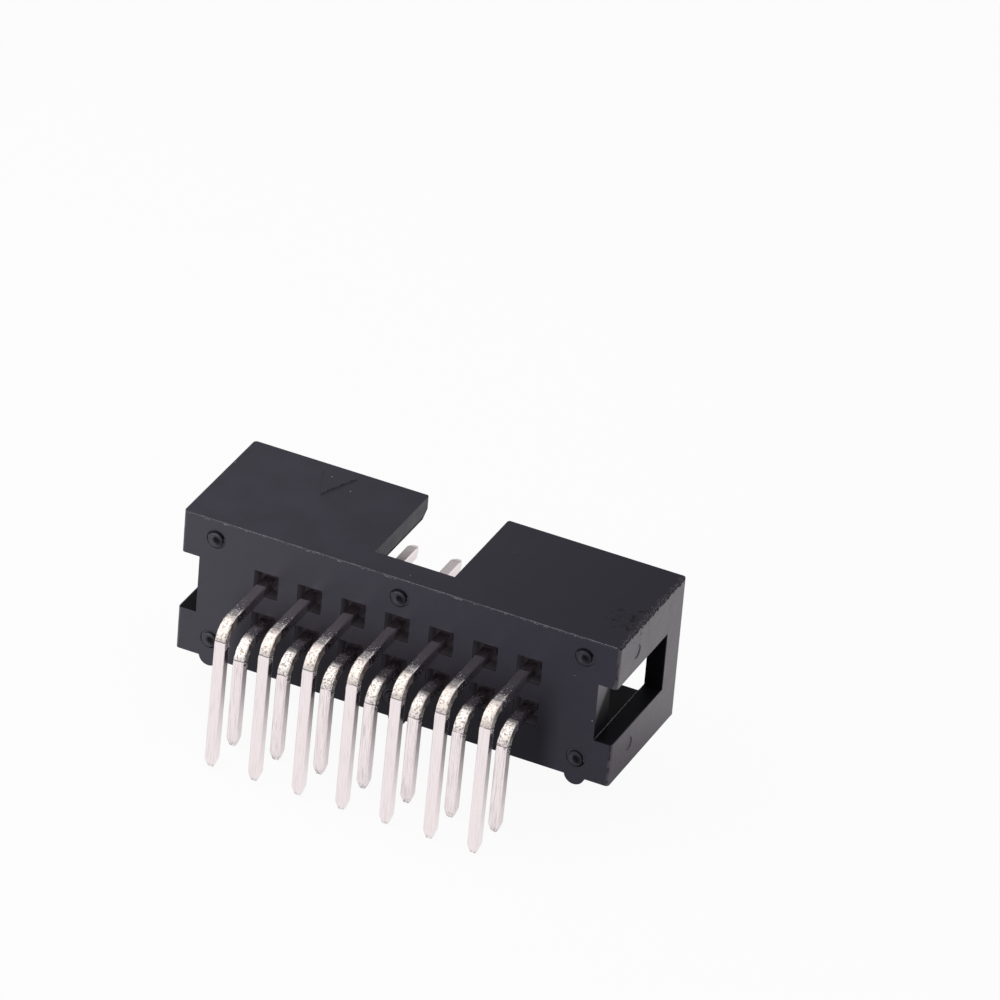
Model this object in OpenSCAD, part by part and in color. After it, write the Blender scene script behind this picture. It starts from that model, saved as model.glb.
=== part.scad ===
// Right-angle box header for ribbon-cable sockets.
//
// A moulded housing holds two rows of square contacts. Each contact runs from
// the mating cavity through the housing's floor, turns down behind it and ends
// in a solder tail. Ribs on the underside hold the housing off the board.
//
// Millimetres. Z is up, away from the board, and z = 0 is the board's surface.
// The origin is the centre of the tail pattern. X runs along the rows, with
// contact 1 at the +X end, and the mating mouth faces -Y.

/* [Contacts] */
// Number of columns; each has an upper and a lower contact
columns = 7; // [3:1:20]
// Distance between columns, and between the two rows
pitch = 2.54; // [2.5:0.02:3]
// Side of the square wire
pin_size = 0.64; // [0.5:0.02:0.8]
// How far the contacts stand out of the cavity floor
mating_reach = 5.8; // [4:0.1:6.2]
// Inside radius of the bend
bend_radius = 0.7; // [0.2:0.02:0.9]
// How far the legs spring outwards from upright, in degrees
leg_lean = 2.3; // [0:0.1:5]
// From the rear face to the nearer row of tails
tail_setback = 2.61; // [2:0.01:3.5]
// Length of the nearer tails below the board's surface
near_tail = 2.4; // [2:0.05:4]
// Length of the farther tails below the board's surface
far_tail = 2.25; // [2:0.05:4]
// Length of the pointed ends
point_length = 0.6; // [0.3:0.05:1]
// Side of the small square left at a point's end
point_flat = 0.32; // [0.2:0.02:0.4]
// Gap on each side of a contact in its hole
press_gap = 0.01; // [0.005:0.005:0.03]

/* [Housing] */
// Height of the housing without its ribs
body_height = 8.5; // [8:0.1:10]
// Depth from the rear face to the mating rim
body_depth = 8.2; // [8:0.1:10]
// From the last contact's axis to the outside of the end wall
end_overhang = 4.98; // [4.6:0.02:6]
// Thickness of the walls above and below the cavity
long_wall = 1.15; // [0.9:0.05:1.3]
// Thickness of the end walls
end_wall = 1.05; // [0.8:0.05:1.3]
// Thickness of the floor that holds the contacts
floor_thickness = 1.7; // [1.4:0.1:2]
// Radius of the four outer corners, seen from above
corner_radius = 0.2; // [0.1:0.05:0.4]
// Depth of the lead-in around the cavity's mouth
lead_in_depth = 0.65; // [0.3:0.05:1]
// Width of the lead-in around the cavity's mouth
lead_in_width = 0.45; // [0.2:0.05:0.6]

/* [Key notch] */
// Width of the notch in the upper wall
key_width = 4.6; // [4:0.1:5]
// Radius of the notch's corners at the rim
key_corner = 0.15; // [0.05:0.05:0.3]

/* [End slots] */
// Height of the slot in each end wall
slot_height = 3.45; // [2:0.05:4]
// Length of the slot, from the rear face towards the rim
slot_length = 6.3; // [4:0.1:6.8]

/* [Rear pockets] */
// Width of the pocket around each contact
pocket_width = 1.4; // [1:0.05:1.8]
// Height of the pocket around each contact
pocket_height = 1.45; // [1:0.05:1.8]
// Depth of the pockets in the rear face
pocket_depth = 0.9; // [0.4:0.1:1.1]

/* [Ribs] */
// Width of a rib where it meets the underside
rib_width = 1.15; // [0.8:0.05:1.4]
// Height of a rib, which is the gap under the housing
rib_height = 0.5; // [0.3:0.05:0.7]
// From an end face to the middle of the nearest rib
rib_inset = 1.95; // [1:0.05:2.5]
// From the mating rim to a rib's round end
rib_stop = 1.35; // [0.5:0.05:3]

/* [Rear pads] */
// Diameter of a pad
pad_diameter = 0.86; // [0.6:0.02:1]
// Height of a pad above the rear face
pad_height = 0.15; // [0.1:0.01:0.2]
// Radius of the pad's edge
pad_round = 0.08; // [0.04:0.01:0.09]
// Width of the dimple in the pad
dimple_width = 0.5; // [0.3:0.02:0.5]
// Depth of the dimple
dimple_depth = 0.12; // [0.05:0.01:0.15]
// Width of the groove around the pad
pad_groove = 0.1; // [0.05:0.01:0.15]
// Depth of the groove
pad_groove_depth = 0.06; // [0.03:0.01:0.1]
// From an end face to the middle of the outer pads
pad_inset = 1.95; // [1:0.05:2.5]
// From the top or the underside to the middle of a pad
pad_edge = 1.15; // [0.8:0.05:1.3]

/* [Marks] */
// Width of the raised triangle at contact 1, along the rim
mark_width = 1.95; // [1:0.05:2.5]
// Length of the triangle, from its base to its point
mark_length = 2.45; // [1:0.05:3]
// Height of the triangle above the upper wall
mark_height = 0.1; // [0.04:0.02:0.3]
// From the mating rim to the triangle's base
mark_rim_gap = 0.55; // [0.2:0.05:1]
// How far the triangle is moved inboard of contact 1
mark_shift = 0.4; // [0:0.05:0.6]
// Diameter of the ejector witness on each end face
witness_diameter = 0.8; // [0.5:0.05:1]
// Depth of the ejector witness
witness_depth = 0.04; // [0.02:0.01:0.08]
// From the rear face to the middle of a witness
witness_setback = 2.3; // [1:0.1:4]
// From the top or the underside to the middle of a witness
witness_edge = 1.4; // [0.8:0.1:1.8]

/* [Hidden] */
$fn = 48;
contact_count = 2 * columns;
function pin_name(number) = str("pin_", number < 10 ? "0" : "", number);

// How far a cutting shape runs past the surface it opens
past = 1;

// The housing's box
body_length = (columns - 1) * pitch + 2 * end_overhang;
x_end = body_length / 2;
y_rear = -(tail_setback + pitch / 2);
y_rim = y_rear - body_depth;
y_floor = y_rear - floor_thickness;
z_under = rib_height;
z_top = z_under + body_height;
z_mid = (z_under + z_top) / 2;

// The cavity's section
cavity_length = body_length - 2 * end_wall;
cavity_height = body_height - 2 * long_wall;

// A leg is let into the end of its bend by seam_depth, and is thinner than the
// bend by seam on each side, so that the two join as one solid
seam = 0.001;
seam_depth = 0.02;

// A hole grips the contact that is pressed through it
hole_size = pin_size + 2 * press_gap;

// The radius of a round of the given width and height
function round_radius(width, height) =
    (pow(width / 2, 2) + pow(height, 2)) / (2 * height);

// A rib and its round end are parts of one circle and one ball
rib_radius = round_radius(rib_width, rib_height);
dimple_radius = round_radius(dimple_width, dimple_depth);

// Contacts are numbered in pairs from the +X end: odd above, even below
function column_x(column) = ((columns + 1) / 2 - column) * pitch;
function contact_column(number) = ceil(number / 2);
function is_upper(number) = number % 2 == 1;
function row_z(upper) = z_mid + (upper ? 1 : -1) * pitch / 2;
function leg_y(upper) = (upper ? 1 : -1) * pitch / 2;

// Extrudes a profile drawn in Y and Z along X, centred on X = 0
module along_x(length)
    translate([-length / 2, 0, 0])
        rotate([90, 0, 90])
            linear_extrude(length) children();

// Removes the material outside a round on an upright edge. The edge is at
// the origin, and the solid lies towards -X and -Y times the given signs.
module upright_round(radius, side_x, side_y)
    to_side(side_x, side_y)
        difference() {
            translate([-radius, -radius, -past])
                cube([radius + past, radius + past, body_height + 2 * past]);
            translate([-radius, -radius, -2 * past])
                cylinder(r = radius, h = body_height + 4 * past);
        }

// Mirrors its children to the given side of X and Y
module to_side(side_x, side_y)
    mirror([side_x < 0 ? 1 : 0, 0, 0])
        mirror([0, side_y < 0 ? 1 : 0, 0])
            children();

// Places its children at every contact's column and row, in the X-Z plane
module each_contact_axis()
    for (column = [1:columns], upper = [false, true])
        translate([column_x(column), 0, row_z(upper)]) children();

// The block with its four rounded upright corners
module outer_block()
    difference() {
        translate([-x_end, y_rim, z_under])
            cube([body_length, body_depth, body_height]);
        for (side = [-1, 1]) {
            translate([side * x_end, y_rear, z_under])
                upright_round(corner_radius, side, 1);
            translate([side * x_end, y_rim, z_under])
                upright_round(corner_radius, side, -1);
        }
    }

// The room for the cable socket, open at the mating rim
module cavity()
    translate([-cavity_length / 2, y_rim - past, z_mid - cavity_height / 2])
        cube([cavity_length, y_floor - y_rim + past, cavity_height]);

// The sloping faces around the mouth: a frustum, as two crossed wedges
module lead_in() {
    slope = lead_in_width / lead_in_depth;
    mouth = cavity_height / 2 + lead_in_width + slope * past;
    throat = cavity_height / 2;
    side_mouth = cavity_length / 2 + lead_in_width + slope * past;
    side_throat = cavity_length / 2;
    y_mouth = y_rim - past;
    y_throat = y_rim + lead_in_depth;
    intersection() {
        along_x(body_length + 2 * past)
            polygon([
                [y_mouth, z_mid - mouth], [y_mouth, z_mid + mouth],
                [y_throat, z_mid + throat], [y_throat, z_mid - throat]
            ]);
        translate([0, 0, z_under - past])
            linear_extrude(body_height + 2 * past)
                polygon([
                    [-side_mouth, y_mouth], [side_mouth, y_mouth],
                    [side_throat, y_throat], [-side_throat, y_throat]
                ]);
    }
}

// The notch that takes the socket's key, open upwards and at the rim
module key_notch() {
    translate([-key_width / 2, y_rim - past, z_mid])
        cube([key_width, y_floor - y_rim + past, body_height / 2 + past]);
    for (side = [-1, 1])
        translate([side * key_width / 2, y_rim, z_mid])
            upright_round(key_corner, -side, -1);
}

// The slot in each end wall: a groove behind the floor, a window before it
module end_slots()
    for (side = [-1, 1])
        to_side(side, 1)
            translate([
                x_end - end_wall,
                y_rear - slot_length,
                z_mid - slot_height / 2
            ])
                cube([end_wall + past, slot_length + past, slot_height]);

// A pocket in the rear face and a square hole through the rest of the floor
module contact_seats()
    each_contact_axis() {
        translate([-pocket_width / 2, y_rear - pocket_depth, -pocket_height / 2])
            cube([pocket_width, pocket_depth + past, pocket_height]);
        translate([-hole_size / 2, y_floor - past, -hole_size / 2])
            cube([hole_size, floor_thickness + 2 * past, hole_size]);
    }

// A half-round rib under the housing, flush at the rear and round at its end
module rib() {
    z_axis = rib_radius;
    y_ball = y_rim + rib_stop + rib_width / 2;
    intersection() {
        union() {
            translate([0, y_rear, z_axis])
                rotate([90, 0, 0])
                    cylinder(r = rib_radius, h = y_rear - y_ball);
            translate([0, y_ball, z_axis])
                sphere(r = rib_radius);
        }
        translate([-rib_width, y_rim, -past])
            cube([2 * rib_width, body_depth, past + z_under + long_wall / 4]);
    }
}

// One rib near each end and one in the middle
module ribs()
    for (x = [-(x_end - rib_inset), 0, x_end - rib_inset])
        translate([x, 0, 0]) rib();

// A low round pad with a dimple, standing out of the rear face
module rear_pad() {
    edge_circle = pad_diameter / 2 - pad_round;
    root = pad_height + pad_groove_depth;
    rotate([-90, 0, 0])
        difference() {
            union() {
                translate([0, 0, -root])
                    cylinder(d = pad_diameter, h = root + pad_height - pad_round);
                translate([0, 0, pad_height - pad_round])
                    cylinder(r = edge_circle, h = pad_round);
                translate([0, 0, pad_height - pad_round])
                    rotate_extrude()
                        translate([edge_circle, 0]) circle(r = pad_round);
            }
            translate([0, 0, pad_height - dimple_depth + dimple_radius])
                sphere(r = dimple_radius);
        }
}

// The shallow round seat that leaves a groove around a pad
module pad_seat()
    rotate([90, 0, 0])
        translate([0, 0, -past])
            cylinder(d = pad_diameter + 2 * pad_groove, h = past + pad_groove_depth);

// Places its children at three pads along the rear face's top, three below
module each_pad()
    for (
        x = [-(x_end - pad_inset), 0, x_end - pad_inset],
        z = [z_under + pad_edge, z_top - pad_edge]
    )
        translate([x, y_rear, z]) children();

// The raised triangle beside contact 1, pointing to the rear
module contact_1_mark() {
    y_base = y_rim + mark_rim_gap;
    x_mid = column_x(1) - mark_shift;
    translate([0, 0, z_top - long_wall / 2])
        linear_extrude(long_wall / 2 + mark_height)
            polygon([
                [x_mid - mark_width / 2, y_base],
                [x_mid + mark_width / 2, y_base],
                [x_mid, y_base + mark_length]
            ]);
}

// The shallow discs that ejector pins leave on the end faces
module ejector_witnesses()
    for (side = [-1, 1], z = [z_under + witness_edge, z_top - witness_edge])
        translate([side * x_end, y_rear - witness_setback, z])
            rotate([0, 90, 0])
                cylinder(d = witness_diameter, h = 2 * witness_depth, center = true);

module housing()
    color([0.2, 0.2, 0.22])
        difference() {
            union() {
                difference() {
                    outer_block();
                    each_pad() pad_seat();
                }
                ribs();
                each_pad() rear_pad();
                contact_1_mark();
            }
            cavity();
            lead_in();
            key_notch();
            end_slots();
            contact_seats();
            ejector_witnesses();
        }

// Outline of a square wire of the given length with one pointed end, up +Y
module pointed_outline(length, side)
    polygon([
        [-side / 2, 0], [side / 2, 0],
        [side / 2, length - point_length], [point_flat / 2, length],
        [-point_flat / 2, length], [-side / 2, length - point_length]
    ]);

// A square wire along +Z whose four sides slope in to its point
module pointed_wire(length, side)
    intersection() {
        rotate([90, 0, 0])
            linear_extrude(side, center = true) pointed_outline(length, side);
        rotate([90, 0, 90])
            linear_extrude(side, center = true) pointed_outline(length, side);
    }

// A contact: the mating blade, the bend and the leg with its solder tail. The
// leg leans out by leg_lean, and its axis crosses the board at leg_y.
module contact(number) {
    upper = is_upper(number);
    z_row = row_z(upper);
    tail = upper ? far_tail : near_tail;
    centre_radius = bend_radius + pin_size / 2;
    z_bend = z_row - centre_radius;
    z_leg = z_bend + centre_radius * sin(leg_lean);
    y_leg = leg_y(upper) - z_leg * tan(leg_lean);
    y_bend = y_leg - centre_radius * cos(leg_lean);
    translate([column_x(contact_column(number)), 0, 0]) {
        translate([0, y_bend, z_row])
            rotate([90, 0, 0])
                pointed_wire(y_bend - (y_floor - mating_reach), pin_size);
        translate([0, y_bend, z_bend])
            rotate([90, 0, 90])
                rotate_extrude(start = leg_lean, angle = 90 - leg_lean)
                    translate([bend_radius, -pin_size / 2])
                        square(pin_size);
        translate([0, y_leg, z_leg])
            rotate([180 + leg_lean, 0, 0])
                translate([0, 0, -seam_depth])
                    pointed_wire(
                        seam_depth + (z_leg + tail) / cos(leg_lean),
                        pin_size - 2 * seam
                    );
    }
}

module pin(number)
    color([0.83, 0.81, 0.80]) contact(number);

housing();
for (number = [1:contact_count])
    pin(number);
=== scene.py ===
import math

import bmesh
import bpy
from mathutils import Matrix, Vector


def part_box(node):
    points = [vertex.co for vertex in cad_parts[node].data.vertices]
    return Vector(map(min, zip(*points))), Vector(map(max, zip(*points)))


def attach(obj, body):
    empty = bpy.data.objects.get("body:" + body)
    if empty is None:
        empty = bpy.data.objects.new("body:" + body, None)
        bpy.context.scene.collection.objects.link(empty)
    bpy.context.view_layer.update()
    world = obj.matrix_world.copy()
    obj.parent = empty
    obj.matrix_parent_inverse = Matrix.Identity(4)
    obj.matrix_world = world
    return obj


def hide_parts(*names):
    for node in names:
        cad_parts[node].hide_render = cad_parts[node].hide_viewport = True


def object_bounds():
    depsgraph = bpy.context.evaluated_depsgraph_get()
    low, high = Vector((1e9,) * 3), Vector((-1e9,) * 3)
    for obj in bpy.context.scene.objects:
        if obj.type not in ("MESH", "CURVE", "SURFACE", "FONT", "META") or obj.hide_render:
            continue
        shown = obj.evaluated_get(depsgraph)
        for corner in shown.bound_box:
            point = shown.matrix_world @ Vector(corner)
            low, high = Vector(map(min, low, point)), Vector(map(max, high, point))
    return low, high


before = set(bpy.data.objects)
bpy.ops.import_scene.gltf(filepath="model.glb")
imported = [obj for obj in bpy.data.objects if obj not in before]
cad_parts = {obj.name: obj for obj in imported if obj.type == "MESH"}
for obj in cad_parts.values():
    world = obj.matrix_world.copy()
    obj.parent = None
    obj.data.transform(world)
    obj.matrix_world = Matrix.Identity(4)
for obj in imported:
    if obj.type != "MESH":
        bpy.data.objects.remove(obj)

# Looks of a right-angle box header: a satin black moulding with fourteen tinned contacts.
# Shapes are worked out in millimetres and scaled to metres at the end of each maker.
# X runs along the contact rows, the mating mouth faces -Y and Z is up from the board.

CAD_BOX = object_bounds()
MM = 0.001


def box_mm(node):
    """Lowest and highest corner of a CAD node, in millimetres."""
    return tuple(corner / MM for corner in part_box(node))


# ---------------------------------------------------------------- sizes

PAD_HEIGHT = 0.15          # the rear pads stand this far out of the rear face
MARK_HEIGHT = 0.10         # the triangle stands this far above the top
RIB_HEIGHT = 0.50          # the ribs stand this far below the underside
HOUSING_LOW, HOUSING_HIGH = box_mm("housing")
X_END = HOUSING_HIGH.x
Y_REAR = HOUSING_HIGH.y - PAD_HEIGHT
Z_TOP = HOUSING_HIGH.z - MARK_HEIGHT
Z_UNDER = HOUSING_LOW.z + RIB_HEIGHT
Z_MIDDLE = 4.75            # midway between the two rows of contacts
CONTACT_NODES = sorted(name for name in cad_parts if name.startswith("pin_"))
TABLE_Z = min(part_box(name)[0].z for name in CONTACT_NODES)

END_WALL = 1.05            # thickness of the wall at either end
X_SLOT = X_END - END_WALL  # the inner side of an end wall and of the slot in it
SLOT_HEIGHT = 3.45         # height of the slot in an end wall
# the pale bead along a slot's sill is a painted highlight of its inner edge
SILL_LENGTH = 5.6          # flash lies along this much of a slot's lower side
FLOOR_DEPTH = 1.70         # thickness of the housing's floor, which holds the contacts
CAVITY_HALF = 3.10         # the long walls' inner sides are this far from Z_MIDDLE
EDGE_ROUND = 0.045         # radius of the moulding's edges
CORNER_ROUND = 0.20        # radius of the moulding's upright outer corners

PAD_OUT = 10.65            # the outer rear pads stand this far from the middle
PAD_UP = 3.10              # and this far above or below Z_MIDDLE
PAD_RADIUS = 0.43
RIB_REACH = 0.7            # the middle rib lies within this of the middle in the CAD
RIB_SHIFT = -0.38          # it is set this far from the middle, along X
RIB_SHARE = 0.85           # and is this much as wide as its CAD form

WIRE_ROUND = 0.10          # radius of the square wire's edges
WIRE_EASE = 0.010          # the drawn wire is this much thinner than its CAD node
BEND_INSIDE = 0.70         # inside radius of a contact's bend
LEG_LEAN = 2.3             # degrees that a contact's leg leans out from upright
POINT_LENGTH = 0.50        # length of a contact's tapered end
POINT_SHARE = 0.50         # width left at a contact's end, as a share of the wire
POINT_BULGE = 0.35         # 0 for a straight taper, 1 for a rounded one


# ---------------------------------------------------------------- colours

def tint(red, green, blue):
    return (red, green, blue, 1.0)


def grey(value):
    return tint(value, value, value)


CLOUD_DARK = tint(0.0120, 0.0100, 0.0200)
CLOUD_LIGHT = tint(0.0170, 0.0145, 0.0270)
# painted shade: the moulding darkens towards the -X end, standing in for the light's falloff
FALLOFF_PAINTED_SHADE = tint(0.0100, 0.0086, 0.0165)
# painted light: the rear face is coloured paler, for more light on it
REAR_FACE_PAINTED_LIGHT = tint(0.0155, 0.0155, 0.0290)
# painted light: the end faces and the lit part of the slots' inner sides are coloured paler, for
# the sheen and light on them
END_FACE_PAINTED_LIGHT = tint(0.034, 0.020, 0.038)
# painted shade: inside walls, the slot side's lower corner, pad grooves and dimples, and the
# rear face between the legs
SHADE_PAINTED_DARK = tint(0.006, 0.006, 0.008)
# painted light: the pockets' walls are coloured paler, for the light that gets into them
POCKET_PAINTED_LIGHT = tint(0.130, 0.120, 0.136)
# painted highlight on the rear pads
PAD_PAINTED_HIGHLIGHT = tint(0.060, 0.056, 0.066)
SCRAPED_DARK = tint(0.003, 0.003, 0.004)
SCRAPED_LIGHT = tint(0.070, 0.066, 0.074)
# painted shade and highlight on the raised triangle's sides
MARK_SIDE_PAINTED_SHADE = tint(0.030, 0.028, 0.036)
MARK_SIDE_PAINTED_HIGHLIGHT = tint(0.140, 0.130, 0.150)
# painted highlight on the rear corners, and the chip at the slot
CORNER_HIGHLIGHT_AND_CHIP = tint(0.085, 0.078, 0.090)
TORN_DARK = tint(0.026, 0.023, 0.029)
TORN_LIGHT = tint(0.105, 0.097, 0.112)
# pale greys of the mould flash, and of the painted highlight bead on the slots' sills
FLASH_AND_HIGHLIGHT_DARK = tint(0.052, 0.047, 0.062)
FLASH_AND_HIGHLIGHT_PALE = tint(0.205, 0.188, 0.225)
PLASTIC_SHEEN = tint(0.98, 0.94, 1.0)
DUST_GREY = grey(0.25)

SILVER = tint(0.94, 0.85, 0.865)
DRAB = tint(0.70, 0.63, 0.64)
WORN_TAIL = tint(0.52, 0.47, 0.47)
FROSTED_LOWER = tint(0.85, 0.80, 0.78)
FROSTED_UPPER = tint(0.65, 0.59, 0.56)
GOLDEN = tint(0.76, 0.69, 0.60)
PIT = tint(0.36, 0.31, 0.29)
# painted dark reflection across the bend's end
BEND_PAINTED_REFLECTION = tint(0.30, 0.27, 0.27)
# painted shade on the contacts' straight bars
BAR_SHADE = grey(0.10)
BAR_SPECK = grey(0.95)


# ---------------------------------------------------------------- nodes

class NodeWork:
    """Adds nodes to a tree and joins them as they are made."""

    def __init__(self, tree):
        self.tree = tree

    def add(self, kind, inputs=None, **settings):
        """One node. An input's value is a constant or another node's output."""
        made = self.tree.nodes.new(kind)
        for name, value in settings.items():
            setattr(made, name, value)
        for key, value in (inputs or {}).items():
            self.feed(made.inputs[key], value)
        return made

    def first(self, kind, inputs=None, **settings):
        """The first output of a new node."""
        return self.add(kind, inputs, **settings).outputs[0]

    def feed(self, socket, value):
        if isinstance(value, bpy.types.NodeSocket):
            self.tree.links.new(value, socket)
        else:
            socket.default_value = value

    def math(self, operation, *values, clamp=False):
        inputs = dict(enumerate(values))
        return self.first("ShaderNodeMath", inputs, operation=operation, use_clamp=clamp)

    def chain(self, operation, values):
        """One number from several, taken in turn."""
        result = values[0]
        for value in values[1:]:
            result = self.math(operation, result, value)
        return result

    def product(self, *values):
        return self.chain("MULTIPLY", values)

    def highest(self, *values):
        return self.chain("MAXIMUM", values)

    def scaled(self, value, factor, base):
        """A number times a factor, on top of a base."""
        return self.math("MULTIPLY_ADD", value, factor, base)

    def off(self, value, level):
        """How far a number lies from a level."""
        return self.math("ABSOLUTE", self.math("SUBTRACT", value, level))

    def ramp(self, value, start, end):
        """0 below start, 1 above end and a smooth rise between; falls if end < start."""
        low, high, first, last = (start, end, 0.0, 1.0)
        if end < start:
            low, high, first, last = (end, start, 1.0, 0.0)
        inputs = {0: value, 1: low, 2: high, 3: first, 4: last}
        return self.first("ShaderNodeMapRange", inputs, interpolation_type="SMOOTHSTEP")

    def blend(self, share, first, second):
        """A colour between two colours."""
        made = self.add("ShaderNodeMix", data_type="RGBA")
        self.feed(made.inputs[0], share)
        self.feed(made.inputs[6], first)
        self.feed(made.inputs[7], second)
        return made.outputs[2]

    def layered(self, base, *layers):
        """A colour with others laid over it in turn, each by its own share."""
        for share, colour in layers:
            base = self.blend(share, base, colour)
        return base

    def between(self, share, first, second):
        """A number between two numbers."""
        inputs = {0: share, 2: first, 3: second}
        return self.first("ShaderNodeMix", inputs, data_type="FLOAT")

    def split(self, vector, axes="XYZ"):
        """A vector's numbers along the named axes."""
        made = self.add("ShaderNodeSeparateXYZ", {0: vector})
        return [made.outputs[axis] for axis in axes]

    def join(self, x, y, z):
        return self.first("ShaderNodeCombineXYZ", {0: x, 1: y, 2: z})

    def distance(self, place, point):
        made = self.add("ShaderNodeVectorMath", {0: place, 1: point}, operation="DISTANCE")
        return made.outputs["Value"]

    def noise(self, place, scale, detail=2.0, rough=0.5):
        inputs = {"Vector": place, "Scale": scale, "Detail": detail, "Roughness": rough}
        return self.first("ShaderNodeTexNoise", inputs)

    def relief(self, heights):
        """The surface's direction on the given heights in millimetres."""
        inputs = {"Strength": 1.0, "Distance": MM, "Height": heights}
        return self.first("ShaderNodeBump", inputs)


def new_finish(name):
    """An empty node material, its tree and the place on the part in millimetres."""
    material = bpy.data.materials.new(name)
    material.use_nodes = True
    material.node_tree.nodes.clear()
    work = NodeWork(material.node_tree)
    place = work.add("ShaderNodeTexCoord").outputs["Object"]
    scale = work.add("ShaderNodeVectorMath", {0: place, "Scale": 1 / MM}, operation="SCALE")
    return material, work, scale.outputs[0]


# ---------------------------------------------------------------- camera

def towards(azimuth, elevation):
    """Unit vector at an azimuth from -Y and an elevation, in degrees."""
    azimuth = math.radians(azimuth)
    elevation = math.radians(elevation)
    return Vector((
        math.sin(azimuth) * math.cos(elevation),
        -math.cos(azimuth) * math.cos(elevation),
        math.sin(elevation),
    ))


def stand(point, back):
    """The place and turn of a camera or lamp at a point, with its back that way."""
    return Matrix.Translation(point) @ back.to_track_quat("Z", "Y").to_matrix().to_4x4()


def make_camera():
    """A long lens from behind and above, at the -X end."""
    aim = Vector((-2.09, -11.21, 10.64)) * MM
    back = towards(azimuth=202.89, elevation=31.78)
    distance = 458.7 * MM
    roll = math.radians(4.92)
    focal_length = 316.3
    data = bpy.data.cameras.new("long_lens")
    data.lens = focal_length
    data.clip_start = 0.01
    data.clip_end = 10.0
    camera = bpy.data.objects.new("camera", data)
    camera.matrix_world = stand(aim + back * distance, back) @ Matrix.Rotation(roll, 4, "Z")
    bpy.context.scene.collection.objects.link(camera)
    bpy.context.scene.camera = camera


# ---------------------------------------------------------------- studio

def make_world():
    """White to the camera, an even fill to matt surfaces and a tent to reflections.

    The tent is white, apart from its greyer opening beyond the mating side and a thin
    darker line at the horizon.
    """
    fill_strength = 0.45
    tent_strength = 1.0
    opening_strength = 0.33
    horizon_share = 0.3
    world = bpy.data.worlds.new("light_tent")
    world.use_nodes = True
    world.node_tree.nodes.clear()
    work = NodeWork(world.node_tree)
    path = work.add("ShaderNodeLightPath").outputs
    x, y, z = work.split(work.add("ShaderNodeTexCoord").outputs["Generated"])
    opening = work.product(
        work.ramp(y, -0.10, -0.40),
        work.ramp(x, -0.30, -0.05),
        work.ramp(z, 0.76, 0.62),
    )
    horizon = work.product(work.ramp(z, 0.07, 0.03), horizon_share)
    tent = work.between(work.highest(opening, horizon), tent_strength, opening_strength)
    mirrored = work.highest(path["Is Glossy Ray"], path["Is Transmission Ray"])
    strength = work.between(mirrored, fill_strength, tent)
    strength = work.between(path["Is Camera Ray"], strength, 1.0)
    light = work.add("ShaderNodeBackground", {"Color": grey(1.0), "Strength": strength})
    work.add("ShaderNodeOutputWorld", {"Surface": light.outputs[0]})
    bpy.context.scene.world = world


def white_table():
    """White where it is seen, with a light shadow, and white in mirrors but under the part."""
    paper = 0.75
    seen_share = 0.94
    covered_share = 0.05
    open_share = 0.80
    material = bpy.data.materials.new("white_table")
    material.use_nodes = True
    material.node_tree.nodes.clear()
    work = NodeWork(material.node_tree)
    path = work.add("ShaderNodeLightPath").outputs
    spot = work.add("ShaderNodeTexCoord").outputs["Object"]
    away = work.add("ShaderNodeVectorMath", {0: spot}, operation="LENGTH").outputs["Value"]
    behind = work.ramp(work.split(spot, "Y")[0], -0.010, 0.001)
    uncovered = work.highest(behind, work.ramp(away, 0.018, 0.024))
    seen = work.highest(path["Is Camera Ray"], path["Is Transmission Ray"])
    mirrored = work.product(
        path["Is Glossy Ray"], work.between(uncovered, covered_share, open_share)
    )
    share = work.highest(work.product(seen, seen_share), mirrored)
    lit = work.add("ShaderNodeBsdfDiffuse", {"Color": grey(paper)})
    white = work.add("ShaderNodeEmission", {"Color": grey(1.0), "Strength": 1.0})
    mixed = work.add(
        "ShaderNodeMixShader", {0: share, 1: lit.outputs[0], 2: white.outputs[0]}
    )
    work.add("ShaderNodeOutputMaterial", {"Surface": mixed.outputs[0]})
    return material


def make_table():
    """A plain white table top at the lowest tail."""
    half = 3.0
    corners = [(-half, -half), (half, -half), (half, half), (-half, half)]
    data = bpy.data.meshes.new("table_top")
    data.from_pydata([(x, y, TABLE_Z) for x, y in corners], [], [(0, 1, 2, 3)])
    data.materials.append(white_table())
    table = bpy.data.objects.new("table_top", data)
    bpy.context.scene.collection.objects.link(table)


def make_softbox(name, azimuth, elevation, distance, size, brightness):
    """A square lamp that faces the part. Brightness is its own: 1 is white paper's."""
    back = towards(azimuth, elevation)
    centre = (CAD_BOX[0] + CAD_BOX[1]) / 2
    data = bpy.data.lights.new(name, "AREA")
    data.size = size
    data.energy = math.pi * size * size * brightness
    lamp = bpy.data.objects.new(name, data)
    lamp.matrix_world = stand(centre + back * distance, back)
    bpy.context.scene.collection.objects.link(lamp)


def make_studio():
    make_world()
    make_table()
    make_softbox("left_softbox", 122.0, 40.0, 0.085, 0.11, 1.0)
    make_softbox("right_softbox", 285.0, 40.0, 0.40, 0.20, 0.8)
    make_softbox("top_softbox", 20.0, 78.0, 0.40, 0.25, 1.0)


# ---------------------------------------------------------------- regions of the moulding

def torn_edge(work, place):
    """Ragged bites along the upper edge of the -X end, on either face."""
    x, z = work.split(place, "XZ")
    across = work.off(x, -X_END)
    down = work.off(z, Z_TOP)
    reach = work.scaled(work.noise(place, 4.2, 4.0, 0.7), 1.3, -0.44)
    inside = work.math("SUBTRACT", reach, work.scaled(down, 1.6, across))
    return work.ramp(inside, -0.03, 0.03)


def rubbed_patch(work, place):
    """Where the top was scraped, near the -X end."""
    from_end = 0.95
    from_rear = 2.7
    reach = 1.9
    middle = (-X_END + from_end, Y_REAR - from_rear, Z_TOP)
    near = work.ramp(work.distance(place, middle), reach, 0.3)
    spread = work.scaled(near, 0.12, work.noise(place, 3.6, 5.0, 0.75))
    return work.product(work.ramp(spread, 0.60, 0.72), 0.70, work.ramp(near, 0.02, 0.15))


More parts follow.
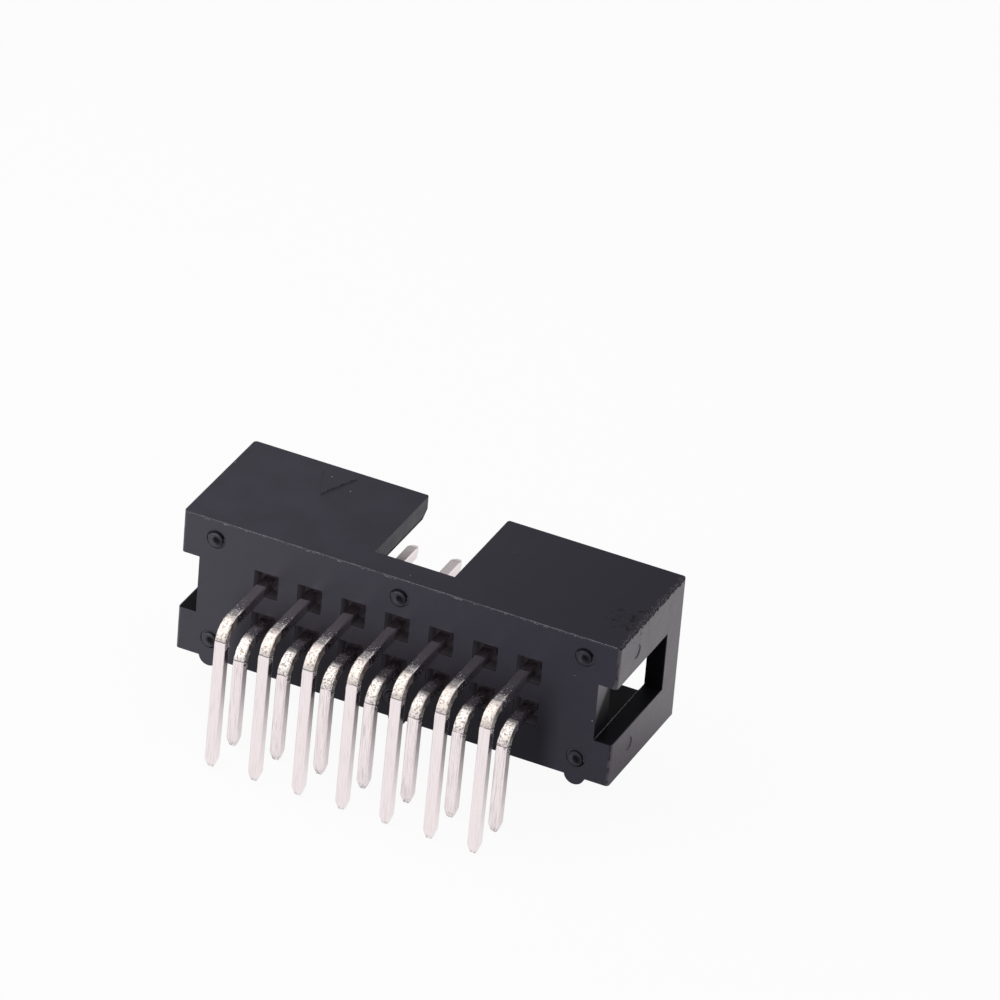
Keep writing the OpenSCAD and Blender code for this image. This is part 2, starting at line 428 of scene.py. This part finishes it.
def rear_corner(work, place):
    """A painted highlight along the upright corners at the rear, and a chip where a slot breaks
    through.
    """
    x, y = work.split(place, "XY")
    past_side = work.math("SUBTRACT", work.math("ABSOLUTE", x), X_END - CORNER_ROUND)
    past_rear = work.math("SUBTRACT", y, Y_REAR - CORNER_ROUND)
    out = work.math("ADD", past_side, past_rear)
    # painted highlight on the rounds of the upright corners, in broken patches
    wear_and_highlight = work.product(
        work.ramp(out, 1.12 * CORNER_ROUND, 1.36 * CORNER_ROUND),
        work.ramp(work.noise(place, 2.2, 4.0, 0.6), 0.40, 0.60),
    )
    chip = (-X_END, Y_REAR, Z_MIDDLE + SLOT_HEIGHT / 2)
    reach = work.product(work.noise(place, 3.0, 4.0, 0.7), 0.7)
    chipped = work.ramp(work.math("SUBTRACT", reach, work.distance(place, chip)), 0.0, 0.06)
    return work.highest(wear_and_highlight, chipped)


def on_rear_face(work, y):
    """1 on the rear face and its pads, else 0."""
    return work.math("GREATER_THAN", y, Y_REAR - 0.08)


def pad_places(work, place):
    """X and Z from the middle of the nearest rear pad, the radius, and 1 on the rear face."""
    x, y, z = work.split(place)
    column = work.math("ROUND", work.math("DIVIDE", x, PAD_OUT))
    across = work.math("SUBTRACT", x, work.product(column, PAD_OUT))
    high = work.math("SUBTRACT", z, Z_MIDDLE)
    high = work.math("SUBTRACT", high, work.product(work.math("SIGN", high), PAD_UP))
    squares = work.math("ADD", work.product(across, across), work.product(high, high))
    return across, high, work.math("SQRT", squares), on_rear_face(work, y)


def pad_shade(work, place):
    """The dimple and the groove of each rear pad, which hold shade on their lower -X side."""
    groove_radius = PAD_RADIUS + 0.05
    across, high, radius, rear = pad_places(work, place)
    lower = work.ramp(work.math("ADD", across, high), 0.45, -0.35)
    groove = work.ramp(work.off(radius, groove_radius), 0.09, 0.03)
    groove = work.product(groove, work.between(lower, 0.40, 1.0))
    off_dimple = work.scaled(across, 0.5, radius)
    dimple = work.product(work.ramp(off_dimple, 0.30, 0.10), 0.95)
    return work.product(work.highest(dimple, groove), rear)


def pad_painted_highlight(work, place):
    """A painted highlight: a paler crescent on the +X side of each rear pad's dimple."""
    dimple_radius = 0.22
    across, _, radius, rear = pad_places(work, place)
    ring = work.ramp(work.off(radius, dimple_radius), 0.10, 0.02)
    return work.product(ring, work.ramp(across, 0.04, 0.16), rear, 0.8)


def dust(work, place):
    """Small sparse specks that lie on the surface."""
    cells = work.add("ShaderNodeTexVoronoi", {"Vector": place, "Scale": 0.8})
    chosen = work.split(cells.outputs["Color"], "X")[0]
    near = work.math("LESS_THAN", cells.outputs["Distance"], work.scaled(chosen, 0.03, 0.005))
    return work.product(near, work.math("GREATER_THAN", chosen, 0.62))


def walls_between(work, z):
    """1 between the two long walls and a little way into them, else 0."""
    margin = 0.15
    return work.math("LESS_THAN", work.off(z, Z_MIDDLE), CAVITY_HALF + margin)


def within_floor(work, y, margin):
    """1 inside the thickness of the floor but for a margin at either face, else 0."""
    middle = Y_REAR - FLOOR_DEPTH / 2
    return work.math("LESS_THAN", work.off(y, middle), FLOOR_DEPTH / 2 - margin)


def inside_mask(work, place):
    """The walls of the cavity and of the slots in the end walls, where shade is painted."""
    x, y, z = work.split(place)
    wide = work.math("ABSOLUTE", x)
    in_cavity = work.math("LESS_THAN", y, Y_REAR - FLOOR_DEPTH + 0.02)
    in_slot = work.product(
        work.math("GREATER_THAN", wide, X_SLOT + 0.03),
        work.math("LESS_THAN", y, Y_REAR - 0.05),
    )
    inside_ends = work.math("LESS_THAN", wide, X_END - 0.06)
    return work.product(
        inside_ends, walls_between(work, z), work.highest(in_cavity, in_slot)
    )


def slot_side_masks(work, place):
    """The inner side of the end slots: its lit part, and its lower front corner in shade."""
    x, y, z = work.split(place)
    off_side = work.off(work.math("ABSOLUTE", x), X_SLOT)
    side = work.product(
        work.math("LESS_THAN", off_side, 0.03),
        within_floor(work, y, 0.02),
        walls_between(work, z),
    )
    border = work.scaled(work.math("SUBTRACT", Y_REAR, y), 1.03, Z_MIDDLE - 0.6)
    lit = work.ramp(work.math("SUBTRACT", z, border), -0.45, 0.45)
    return work.product(side, lit), work.product(side, work.math("SUBTRACT", 1.0, lit))


def between_legs(work, place):
    """The shade that the contacts' legs keep on the lower part of the rear face."""
    depth = 0.65
    x, y, z = work.split(place)
    behind_legs = work.ramp(work.math("ABSOLUTE", x), 9.8, 8.4)
    low_down = work.ramp(z, 6.6, 2.6)
    return work.product(behind_legs, low_down, on_rear_face(work, y), depth)


def pocket_mask(work, place):
    """The walls of the pockets that the contacts leave the floor through, where light is
    painted.
    """
    x, y, z = work.split(place)
    return work.product(
        within_floor(work, y, 0.05),
        work.math("LESS_THAN", work.math("ABSOLUTE", x), X_SLOT - 0.1),
        walls_between(work, z),
    )


def mark_side(work, place):
    """The low sides of the raised triangle, where broken highlight and shade are painted."""
    z = work.split(place, "Z")[0]
    above_top = work.ramp(z, Z_TOP + 0.004, Z_TOP + 0.015)
    below_face = work.ramp(z, HOUSING_HIGH.z - 0.004, HOUSING_HIGH.z - 0.020)
    return work.product(above_top, below_face)


def moulding_regions(work, place):
    """Shares of the moulding's regions. The light falloff, a painted shade, grows from the +X
    end to the -X end.
    """
    x, y = work.split(place, "XY")
    end_face = work.ramp(work.math("ABSOLUTE", x), X_END - 0.07, X_END - 0.05)
    slot_lit, slot_shaded = slot_side_masks(work, place)
    # painted shade: inside walls, the slot side's lower corner, pad grooves and dimples, and the
    # rear face between the legs
    painted_shade = work.highest(
        inside_mask(work, place),
        slot_shaded,
        pad_shade(work, place),
        between_legs(work, place),
    )
    return {
        "light_falloff": work.ramp(x, 1.2 * X_END, -1.2 * X_END),
        # the end faces, and the part of the slots' inner sides where light is painted
        "end face": work.highest(end_face, slot_lit),
        "rear face": work.ramp(y, Y_REAR - 0.03, Y_REAR - 0.01),
        "painted_shade": painted_shade,
        "scraped": rubbed_patch(work, place),
    }


# ---------------------------------------------------------------- finish of the moulding

def plastic_colour(work, place, regions):
    """Blackish violet, cloudy, and paler or darker by region."""
    clouds = work.ramp(work.noise(place, 0.45, 3.0), 0.3, 0.7)
    fibrous = work.ramp(work.noise(place, 8.0, 3.0, 0.7), 0.56, 0.64)
    broken = work.ramp(work.noise(place, 5.0, 4.0, 0.7), 0.40, 0.62)
    return work.layered(
        work.blend(clouds, CLOUD_DARK, CLOUD_LIGHT),
        # painted shade of the light falloff, darker towards -X
        (regions["light_falloff"], FALLOFF_PAINTED_SHADE),
        # painted light on the rear face
        (regions["rear face"], REAR_FACE_PAINTED_LIGHT),
        # painted light on the end faces and the slots' lit sides
        (regions["end face"], END_FACE_PAINTED_LIGHT),
        # painted shade
        (regions["painted_shade"], SHADE_PAINTED_DARK),
        # painted light in the pockets
        (pocket_mask(work, place), POCKET_PAINTED_LIGHT),
        # painted highlight on the pads
        (pad_painted_highlight(work, place), PAD_PAINTED_HIGHLIGHT),
        (regions["scraped"], work.blend(fibrous, SCRAPED_DARK, SCRAPED_LIGHT)),
        # painted highlight and shade on the triangle's sides
        (mark_side(work, place), work.blend(broken, MARK_SIDE_PAINTED_SHADE, MARK_SIDE_PAINTED_HIGHLIGHT)),
        # painted highlight on the corners, and the chip
        (rear_corner(work, place), CORNER_HIGHLIGHT_AND_CHIP),
        (dust(work, place), DUST_GREY),
    )


def plastic_roughness(work, place, regions, mottle):
    """Satin, rougher where it was scraped and smoother on the end faces."""
    rough = work.between(work.noise(place, 1.6, 3.0), 0.37, 0.55)
    rough = work.between(regions["scraped"], rough, 0.80)
    return work.between(regions["end face"], rough, work.between(mottle, 0.20, 0.40))


def plastic_gloss(work, regions, mottle):
    """Glossiest at the +X end and less so towards -X with the painted light falloff, and nearly
    none where shade is painted or the top was scraped.
    """
    gloss = work.between(regions["light_falloff"], 0.52, 0.25)
    gloss = work.product(gloss, work.between(regions["rear face"], 1.0, 1.45))
    gloss = work.between(regions["end face"], gloss, work.between(mottle, 0.50, 0.78))
    return work.between(work.highest(regions["painted_shade"], regions["scraped"]), gloss, 0.06)


def plastic_relief(work, place, scraped):
    """Fine grain on slow waves, and hollows where it was scraped."""
    waves = work.product(work.noise(place, 1.4, 3.0, 0.55), 0.012)
    heights = work.scaled(work.noise(place, 22.0, 3.0, 0.6), 0.002, waves)
    return work.relief(work.scaled(scraped, -0.03, heights))


def moulded_plastic():
    """Satin black moulding compound: fine grain, faint clouds, and traces of use.

    The +X end is glossier and paler and the -X end darker, a painted light falloff.
    """
    material, work, place = new_finish("moulded_plastic")
    regions = moulding_regions(work, place)
    mottle = work.noise(place, 1.1, 4.0, 0.6)
    relief = plastic_relief(work, place, regions["scraped"])
    surface = work.add(
        "ShaderNodeBsdfPrincipled",
        {
            "Base Color": plastic_colour(work, place, regions),
            "Roughness": plastic_roughness(work, place, regions, mottle),
            "IOR": 1.5,
            "Specular IOR Level": plastic_gloss(work, regions, mottle),
            "Specular Tint": PLASTIC_SHEEN,
            "Normal": relief,
        },
    )
    fibrous = work.ramp(work.noise(place, 9.0, 3.0, 0.7), 0.40, 0.62)
    bare = work.blend(fibrous, TORN_DARK, TORN_LIGHT)
    torn = work.add("ShaderNodeBsdfDiffuse", {"Color": bare, "Normal": relief})
    mixed = work.add(
        "ShaderNodeMixShader",
        {0: torn_edge(work, place), 1: surface.outputs[0], 2: torn.outputs[0]},
    )
    work.add("ShaderNodeOutputMaterial", {"Surface": mixed.outputs[0]})
    return material


def pale_flash_and_highlight():
    """Torn skin at a mould line, and a painted highlight bead on the slots' sills: the same
    compound, mottled between two greys.
    """
    material, work, place = new_finish("pale_flash_and_highlight")
    mottle = work.ramp(work.noise(place, 9.0, 3.0, 0.6), 0.35, 0.65)
    colour = work.blend(mottle, FLASH_AND_HIGHLIGHT_DARK, FLASH_AND_HIGHLIGHT_PALE)
    surface = work.add("ShaderNodeBsdfPrincipled", {"Base Color": colour, "Roughness": 0.6})
    work.add("ShaderNodeOutputMaterial", {"Surface": surface.outputs[0]})
    return material


# ---------------------------------------------------------------- finish of the contacts

def stored(work, name):
    """A number that was stored on the contact's mesh."""
    return work.add("ShaderNodeAttribute", attribute_name=name).outputs["Fac"]


def drawn_streaks(work, place):
    """Fine streaks along the wire, from its drawing."""
    around = work.product(stored(work, "around"), 70.0)
    along = work.product(stored(work, "along"), 0.8)
    return work.noise(work.join(around, along, work.split(place, "X")[0]), 1.0, 2.0, 0.6)


def bend_dark_reflection(work, place, turn):
    """A painted dark reflection: a broken line across the wire near the end of its bend."""
    waver = work.scaled(work.noise(place, 3.0), 0.04, 0.82)
    return work.product(
        work.ramp(work.off(turn, waver), 0.022, 0.010),
        work.ramp(work.noise(place, 2.0), 0.30, 0.50),
    )


def contact_regions(work, turn, pits):
    """Shares of a contact's regions. Turn grows from 0 to 1 along the bend."""
    tip = work.ramp(stored(work, "along"), 4.6, 4.2)
    spoilt = work.product(work.ramp(turn, -2.0, 0.05), work.ramp(turn, 0.90, 0.82))
    bar = work.product(work.ramp(turn, 0.0, -0.10), work.ramp(tip, 0.5, 0.4))
    return {
        "tip": tip,
        "bar": bar,
        "bend": work.product(work.ramp(turn, -0.15, 0.05), work.ramp(turn, 0.86, 0.80)),
        "spoilt": spoilt,
        "specks": work.product(bar, spoilt, work.ramp(pits, 0.58, 0.66)),
    }


def tin_colour(work, place, turn, pits, streaks, regions):
    """Silver with drab streaks, frosted and pitted in the bend and worn at the tail, with a
    painted dark reflection near the bend's end and painted shade on the bar.
    """
    y, z = work.split(place, "YZ")
    near_row = work.product(work.ramp(y, 0.3, 0.2), work.ramp(turn, 0.85, 1.0))
    streaky = work.product(work.ramp(streaks, 0.50, 0.64), work.between(near_row, 0.4, 1.0))
    wear_and_highlight = work.product(work.ramp(z, -1.95, -2.25), work.ramp(pits, 0.54, 0.44))
    upper_row = work.ramp(z, 3.9, 4.6)
    warm = work.product(
        work.ramp(turn, 0.15, 0.45),
        work.ramp(turn, 0.80, 0.55),
        work.ramp(work.noise(place, 6.0, 3.0, 0.7), 0.48, 0.60),
    )
    return work.layered(
        work.blend(streaky, SILVER, DRAB),
        (wear_and_highlight, WORN_TAIL),
        (regions["bend"], work.blend(upper_row, FROSTED_LOWER, FROSTED_UPPER)),
        (warm, GOLDEN),
        (work.product(regions["bend"], work.ramp(pits, 0.48, 0.40)), PIT),
        # painted dark reflection near the bend's end
        (bend_dark_reflection(work, place, turn), BEND_PAINTED_REFLECTION),
        # painted shade on the straight bar before the bend
        (work.product(regions["bar"], 0.25), BAR_SHADE),
        (regions["specks"], BAR_SPECK),
    )


def tin_roughness(work, streaks, regions):
    """Bright along the wire, and duller in the bend, at the tip and on specks."""
    rough = work.between(streaks, 0.06, 0.14)
    rough = work.between(regions["bend"], rough, 0.37)
    rough = work.between(regions["tip"], rough, 0.30)
    return work.between(regions["specks"], rough, 0.45)


def tin_relief(work, turn, pits, streaks, regions):
    """A slow bow into the bend, pits that deepen on the bend's flanks, and streaks."""
    bow = work.product(work.ramp(turn, -0.6, 0.6), -0.065)
    facing = work.split(work.add("ShaderNodeTexCoord").outputs["Normal"], "X")[0]
    flank = work.product(
        work.ramp(work.math("ABSOLUTE", facing), 0.60, 0.90),
        work.ramp(turn, 0.30, 0.50),
        work.ramp(turn, 1.15, 0.95),
    )
    depth = work.scaled(regions["bend"], 0.008, work.product(regions["spoilt"], 0.007))
    depth = work.scaled(flank, 0.075, depth)
    heights = work.scaled(pits, depth, bow)
    heights = work.scaled(work.product(pits, regions["tip"]), 0.006, heights)
    return work.relief(work.scaled(streaks, 0.0013, heights))


def bright_tin():
    """Bright tin plate: drawn streaks along the wire, a crinkled bend and a dull blade tip."""
    material, work, place = new_finish("bright_tin")
    turn = stored(work, "turn")
    pits = work.noise(place, 8.5, 2.0, 0.6)
    streaks = drawn_streaks(work, place)
    regions = contact_regions(work, turn, pits)
    surface = work.add(
        "ShaderNodeBsdfPrincipled",
        {
            "Base Color": tin_colour(work, place, turn, pits, streaks, regions),
            "Metallic": 1.0,
            "Roughness": tin_roughness(work, streaks, regions),
            "Normal": tin_relief(work, turn, pits, streaks, regions),
        },
    )
    work.add("ShaderNodeOutputMaterial", {"Surface": surface.outputs[0]})
    return material


# ---------------------------------------------------------------- housing

def baked(piece, name):
    """The piece's evaluated mesh in metres, with its modifiers removed."""
    bpy.context.view_layer.update()
    graph = bpy.context.evaluated_depsgraph_get()
    data = bpy.data.meshes.new_from_object(piece.evaluated_get(graph))
    data.name = name
    piece.modifiers.clear()
    data.transform(Matrix.Scale(MM, 4))
    return data


def shift_middle_rib(shape):
    """Sets the middle rib under the housing to its side and makes it a little narrower."""
    for corner in shape.verts:
        if abs(corner.co.x) < RIB_REACH and corner.co.z < Z_UNDER + 0.001:
            corner.co.x = RIB_SHARE * corner.co.x + RIB_SHIFT


def soften_edges(housing):
    """A small even round on every edge."""
    bevel = housing.modifiers.new("soft_edges", "BEVEL")
    bevel.width = EDGE_ROUND
    bevel.segments = 2
    bevel.limit_method = "ANGLE"
    bevel.angle_limit = math.radians(35)
    bevel.miter_outer = "MITER_ARC"
    bevel.use_clamp_overlap = True
    bevel.harden_normals = True


def moulded_housing(finish):
    """The CAD moulding with every edge softened, as it leaves the mould."""
    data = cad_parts["housing"].data.copy()
    data.name = "moulded_housing"
    data.transform(Matrix.Scale(1 / MM, 4))
    shape = bmesh.new()
    shape.from_mesh(data)
    bmesh.ops.remove_doubles(shape, verts=shape.verts, dist=0.001)
    bmesh.ops.dissolve_limit(
        shape, angle_limit=math.radians(0.5), verts=shape.verts, edges=shape.edges
    )
    shift_middle_rib(shape)
    shape.to_mesh(data)
    shape.free()
    housing = bpy.data.objects.new("moulded_housing", data)
    bpy.context.scene.collection.objects.link(housing)
    soften_edges(housing)
    housing.data = baked(housing, "moulded_housing")
    housing.data.materials.clear()
    housing.data.materials.append(finish)
    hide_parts("housing")
    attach(housing, "root")


# ---------------------------------------------------------------- paths and their trees

def new_tree(name, sizes):
    """A Geometry Nodes tree that takes a path and named sizes, and gives a mesh."""
    tree = bpy.data.node_groups.new(name, "GeometryNodeTree")
    tree.interface.new_socket("Path", in_out="INPUT", socket_type="NodeSocketGeometry")
    for label, value in sizes.items():
        socket = tree.interface.new_socket(label, in_out="INPUT", socket_type="NodeSocketFloat")
        socket.default_value = value
    tree.interface.new_socket("Mesh", in_out="OUTPUT", socket_type="NodeSocketGeometry")
    work = NodeWork(tree)
    return tree, work, work.add("NodeGroupInput").outputs


def finish_tree(work, mesh, finish):
    """Ends a tree with a smooth, realized mesh in its finish."""
    mesh = work.first("GeometryNodeSetShadeSmooth", {"Geometry": mesh})
    mesh = work.first("GeometryNodeRealizeInstances", {"Geometry": mesh})
    mesh = work.first("GeometryNodeSetMaterial", {"Geometry": mesh, "Material": finish})
    work.add("NodeGroupOutput", {0: mesh})


def seeded_place(work, seed):
    """The place of a point, shifted along X by a seed."""
    place = work.first("GeometryNodeInputPosition")
    shift = work.join(seed, 0.0, 0.0)
    return work.first("ShaderNodeVectorMath", {0: place, 1: shift}, operation="ADD")


def swept(work, line, section, thickness):
    """A closed mesh that follows a line."""
    inputs = {
        "Curve": line,
        "Profile Curve": section,
        "Scale": thickness,
        "Fill Caps": True,
    }
    return work.first("GeometryNodeCurveToMesh", inputs)


def resampled(work, line, step):
    inputs = {"Curve": line, "Length": step}
    return work.first("GeometryNodeResampleCurve", inputs, mode="LENGTH")


def set_inputs(modifier, values):
    """Sets a Geometry Nodes modifier's inputs by their names in the tree."""
    for item in modifier.node_group.interface.items_tree:
        if item.in_out == "INPUT" and item.name in values:
            modifier[item.identifier] = values[item.name]


def new_path(name, lines):
    """An object whose mesh is one or more open lines, for a tree to follow."""
    points = []
    edges = []
    for line in lines:
        first = len(points)
        points += line
        edges += [(first + step, first + step + 1) for step in range(len(line) - 1)]
    data = bpy.data.meshes.new(name)
    data.from_pydata(points, edges, [])
    piece = bpy.data.objects.new(name, data)
    bpy.context.scene.collection.objects.link(piece)
    return piece


# ---------------------------------------------------------------- traces of making and use, and a painted highlight

def ragged_bead_tree(finish):
    """A thin bead along each line, whose thickness wavers and sometimes fades out."""
    thinnest = 0.002
    sizes = {"Thickness": 0.03, "Raggedness": 0.8, "Grain": 2.0, "Step": 0.04, "Seed": 0.0}
    tree, work, given = new_tree("ragged_bead", sizes)
    line = work.first("GeometryNodeMeshToCurve", {"Mesh": given["Path"]})
    line = resampled(work, line, given["Step"])
    place = seeded_place(work, given["Seed"])
    waver = work.ramp(work.noise(place, given["Grain"], 3.0, 0.65), 0.66, 0.34)
    kept = work.math("SUBTRACT", 1.0, work.product(waver, given["Raggedness"]))
    thickness = work.highest(work.product(kept, given["Thickness"]), thinnest)
    section = work.first("GeometryNodeCurvePrimitiveCircle", {"Resolution": 6, "Radius": 1.0})
    finish_tree(work, swept(work, line, section, thickness), finish)
    return tree


def ragged_bead(name, lines, tree, sizes):
    """One piece of torn plastic along the given lines."""
    bead = new_path(name, lines)
    drawn = bead.modifiers.new("ragged_bead", "NODES")
    drawn.node_group = tree
    set_inputs(drawn, sizes)
    bead.data = baked(bead, name)
    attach(bead, "root")


def line_along_x(half, y, z):
    return [(-half, y, z), (half, y, z)]


def make_traces():
    """Mould flash on the rear upper edge, and a pale bead on the sills of the end slots as a
    painted highlight of their inner edge.
    """
    tree = ragged_bead_tree(pale_flash_and_highlight())
    inset = EDGE_ROUND / 3
    x_edge = X_END - CORNER_ROUND
    ragged_bead(
        "edge_flash", [line_along_x(x_edge, Y_REAR - inset, Z_TOP - inset)], tree,
        {"Thickness": 0.030, "Raggedness": 0.45, "Grain": 1.7, "Seed": 4.0},
    )
    lumps_down = 0.08
    ragged_bead(
        "edge_lumps", [line_along_x(x_edge, Y_REAR, Z_TOP - lumps_down)], tree,
        {"Thickness": 0.050, "Raggedness": 2.8, "Grain": 2.6, "Seed": 12.0},
    )
    # painted highlight: a pale bead along each sill's inner edge
    z_sill = Z_MIDDLE - SLOT_HEIGHT / 2 + 0.005
    y_ends = (Y_REAR - 0.06, Y_REAR - SILL_LENGTH)
    ragged_bead(
        "sill_highlight_bead", [[(x, y, z_sill) for y in y_ends] for x in (-X_SLOT, X_SLOT)], tree,
        {"Thickness": 0.028, "Raggedness": 0.30, "Grain": 1.0, "Seed": 2.0},
    )


# ---------------------------------------------------------------- contacts

def kept_numbers(work, geometry, numbers):
    """Keeps numbers of a curve's points for use on its mesh: the curve, then each number."""
    kept = work.add("GeometryNodeCaptureAttribute", {"Geometry": geometry}, domain="POINT")
    for slot, (label, value) in enumerate(numbers.items(), start=1):
        kept.capture_items.new("FLOAT", label)
        work.feed(kept.inputs[slot], value)
    return kept.outputs[:len(numbers) + 1]


def wire_section(work, side, round_radius):
    """A square with rounded corners, and the share of the way around it."""
    sides = {"Width": side, "Height": side}
    square = work.first("GeometryNodeCurvePrimitiveQuadrilateral", sides)
    rounds = {"Curve": square, "Radius": round_radius, "Count": 4}
    section = work.first("GeometryNodeFilletCurve", rounds, mode="POLY")
    section = work.first("GeometryNodeSubdivideCurve", {"Curve": section, "Cuts": 1})
    around = work.add("GeometryNodeSplineParameter").outputs["Factor"]
    return kept_numbers(work, section, {"around": around})


def bent_line(work, given):
    """The path with its bend, and at each point its turn, its length so far and its width."""
    line = work.first("GeometryNodeMeshToCurve", {"Mesh": given["Path"]})
    rounds = {"Curve": line, "Radius": given["Bend radius"], "Count": 32}
    bent = work.first("GeometryNodeFilletCurve", rounds, mode="POLY")
    fine = resampled(work, bent, given["Step"])
    along = work.add("GeometryNodeSplineParameter").outputs["Length"]
    whole = work.add("GeometryNodeSplineLength").outputs["Length"]
    to_end = work.math("MINIMUM", along, work.math("SUBTRACT", whole, along))
    in_point = work.math("DIVIDE", to_end, given["Point length"], clamp=True)
    rounded = work.math("SINE", work.product(in_point, math.pi / 2))
    taper = work.between(POINT_BULGE, in_point, rounded)
    width = work.between(taper, given["Point share"], 1.0)
    turn = work.math(
        "DIVIDE",
        work.math("SUBTRACT", along, given["Bend start"]),
        work.math("SUBTRACT", given["Bend end"], given["Bend start"]),
    )
    return kept_numbers(work, fine, {"turn": turn, "along": along, "width": width})


def dented(work, mesh, turn, given):
    """The mesh with shallow dents in its bend."""
    place = seeded_place(work, given["Seed"])
    dent = work.ramp(work.noise(place, 4.5, 3.0, 0.6), 0.55, 0.35)
    in_bend = work.product(work.ramp(turn, 0.0, 0.1), work.ramp(turn, 1.0, 0.9))
    inwards = work.product(dent, in_bend, given["Crinkle"], -1.0)
    normal = work.first("GeometryNodeInputNormal")
    offset = work.first("ShaderNodeVectorMath", {0: normal, "Scale": inwards}, operation="SCALE")
    return work.first("GeometryNodeSetPosition", {"Geometry": mesh, "Offset": offset})


def contact_tree(finish):
    """Geometry Nodes that draw a square wire along a bent path, pointed at both ends."""
    sizes = {
        "Wire": 0.64,
        "Wire round": WIRE_ROUND,
        "Bend radius": 1.0,
        "Bend start": 12.0,
        "Bend end": 13.0,
        "Point length": POINT_LENGTH,
        "Point share": POINT_SHARE,
        "Step": 0.05,
        "Crinkle": 0.02,
        "Seed": 0.0,
    }
    tree, work, given = new_tree("bent_contact", sizes)
    line, turn, along, width = bent_line(work, given)
    section, around = wire_section(work, given["Wire"], given["Wire round"])
    mesh = swept(work, line, section, width)
    mesh = dented(work, mesh, turn, given)
    for name, value in (("turn", turn), ("along", along), ("around", around)):
        mesh = work.first(
            "GeometryNodeStoreNamedAttribute",
            {"Geometry": mesh, "Name": name, "Value": value},
            data_type="FLOAT",
            domain="POINT",
        )
    finish_tree(work, mesh, finish)
    return tree


def flat_end(node, axis):
    """Middle of the small flat end that a contact has at its lowest Y or Z."""
    level = 0.02
    corners = [corner.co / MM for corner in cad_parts[node].data.vertices]
    lowest = min(corner[axis] for corner in corners)
    end = [corner for corner in corners if corner[axis] < lowest + level]
    return Vector([(min(values) + max(values)) / 2 for values in zip(*end)])


def bent_contact(node, tree, seed):
    """One contact along the line of its CAD node: blade, bend, leg and tail."""
    low, high = box_mm(node)
    wire = high.x - low.x - WIRE_EASE
    lean = math.radians(LEG_LEAN)
    tip = flat_end(node, 1)
    tail = flat_end(node, 2)
    elbow = Vector((tip.x, tail.y - (tip.z - tail.z) * math.tan(lean), tip.z))
    contact = new_path(node.replace("pin", "contact"), [[tip, elbow, tail]])
    radius = BEND_INSIDE + wire / 2
    turn = math.radians(90) - lean
    bend_start = (elbow - tip).length - radius * math.tan(turn / 2)
    drawn = contact.modifiers.new("bent_contact", "NODES")
    drawn.node_group = tree
    set_inputs(drawn, {
        "Wire": wire,
        "Bend radius": radius,
        "Bend start": bend_start,
        "Bend end": bend_start + radius * turn,
        "Seed": seed,
    })
    flats = contact.modifiers.new("true_flats", "WEIGHTED_NORMAL")
    flats.keep_sharp = True
    contact.data = baked(contact, contact.name)
    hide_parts(node)
    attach(contact, "root")


def make_contacts():
    """Every contact its own piece, with its own dents."""
    tree = contact_tree(bright_tin())
    for number, node in enumerate(CONTACT_NODES):
        bent_contact(node, tree, seed=3.7 * number)


# ---------------------------------------------------------------- the part

bpy.context.scene.view_settings.view_transform = "Standard"
make_camera()
make_studio()
moulded_housing(moulded_plastic())
make_traces()
make_contacts()
